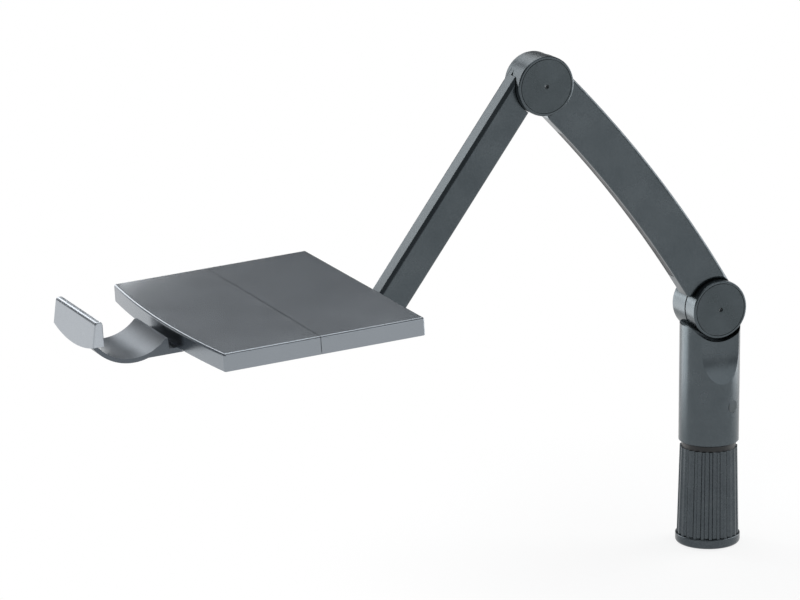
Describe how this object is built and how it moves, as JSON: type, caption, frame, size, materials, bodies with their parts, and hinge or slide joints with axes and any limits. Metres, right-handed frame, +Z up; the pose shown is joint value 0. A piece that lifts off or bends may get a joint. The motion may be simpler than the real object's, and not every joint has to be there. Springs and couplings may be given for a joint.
{
  "type": "phone holder arm",
  "caption": "Table-top phone holder arm: fluted base, swivelling column, curved lower arm, straight forearm and a tilting pull-out tray with a front grip handle.",
  "frame": {"origin": "centre of the base's lower face, at the mouth of the table fixing thread", "axes": "+Z up the column; the arms lie in the XZ plane and reach towards -X; +Y along the hinge pins, from the front caps to the rear caps"},
  "size_m": [0.5832, 0.2334, 0.4288],
  "materials": {
    "base_plastic": "moulded black polyamide, satin",
    "dark_ring": "moulded black acetal",
    "arm_paint": "die-cast aluminium, satin anthracite metallic paint",
    "cap_plastic": "moulded ABS, fine grain, anthracite",
    "cover_plastic": "extruded ABS strip, black",
    "bush_plastic": "turned acetal, natural",
    "steel": "zinc plated",
    "bracket_steel": "black powder coat",
    "tray_plastic": "moulded ABS, satin anthracite metallic lacquer",
    "handle_paint": "cast aluminium, satin silver-grey lacquer",
    "grip_plastic": "moulded ABS, satin silver lacquer"
  },
  "bodies": {
    "base": {"base_sleeve": "base_plastic", "pivot_post": "steel", "swivel_ring": "dark_ring", "keeper_washer": "steel", "keeper_screw": "steel"},
    "column": {"column": "arm_paint", "lower_bush": "bush_plastic", "upper_bush": "bush_plastic", "brake_pad": "bush_plastic", "brake_screw": "steel", "brake_plug": "cap_plastic", "shoulder_pin": "steel", "shoulder_nut": "steel", "shoulder_spring_washers": "steel", "shoulder_spacer": "arm_paint", "shoulder_rear_cap": "cap_plastic"},
    "lower_arm": {"lower_arm": "arm_paint", "lower_arm_cable_cover": "cover_plastic", "shoulder_bush": "bush_plastic", "shoulder_front_cap": "cap_plastic", "elbow_bush": "bush_plastic", "elbow_front_cap": "cap_plastic"},
    "forearm": {"forearm": "arm_paint", "forearm_cable_cover": "cover_plastic", "elbow_pin": "steel", "elbow_nut": "steel", "elbow_spring_washers": "steel", "elbow_spacer": "arm_paint", "elbow_rear_cap": "cap_plastic", "wrist_bush": "bush_plastic"},
    "tray": {"wrist_bracket": "bracket_steel", "wrist_pin": "steel", "wrist_nut": "steel", "wrist_friction_discs": "bush_plastic", "tray_rear": "tray_plastic", "bracket_screws": "steel"},
    "pull_out": {"tray_front": "tray_plastic", "guide_rods": "steel", "rod_clips": "steel", "handle_bracket": "handle_paint", "handle_strap": "handle_paint", "grip_cap": "grip_plastic", "handle_screws": "steel", "strap_screws": "steel"}
  },
  "joints": [
    {"name": "base_swivel", "type": "hinge", "parent": "base", "child": "column", "pos_m": [0, 0, 0], "axis": [0, 0, 1], "continuous": true},
    {"name": "shoulder", "type": "hinge", "parent": "column", "child": "lower_arm", "pos_m": [0, 0, 0.2029], "axis": [0, 1, 0], "range_deg": [-40, 40]},
    {"name": "elbow", "type": "hinge", "parent": "lower_arm", "child": "forearm", "pos_m": [-0.15909, 0, 0.40449], "axis": [0, 1, 0], "range_deg": [-25, 70]},
    {"name": "tray_tilt", "type": "hinge", "parent": "forearm", "child": "tray", "pos_m": [-0.30245, 0, 0.22435], "axis": [0, 1, 0], "range_deg": [-55, 10]},
    {"name": "tray_pull_out", "type": "slide", "parent": "tray", "child": "pull_out", "axis": [-0.9983, 0, -0.0576], "range_m": [0, 0.04]}
  ]
}
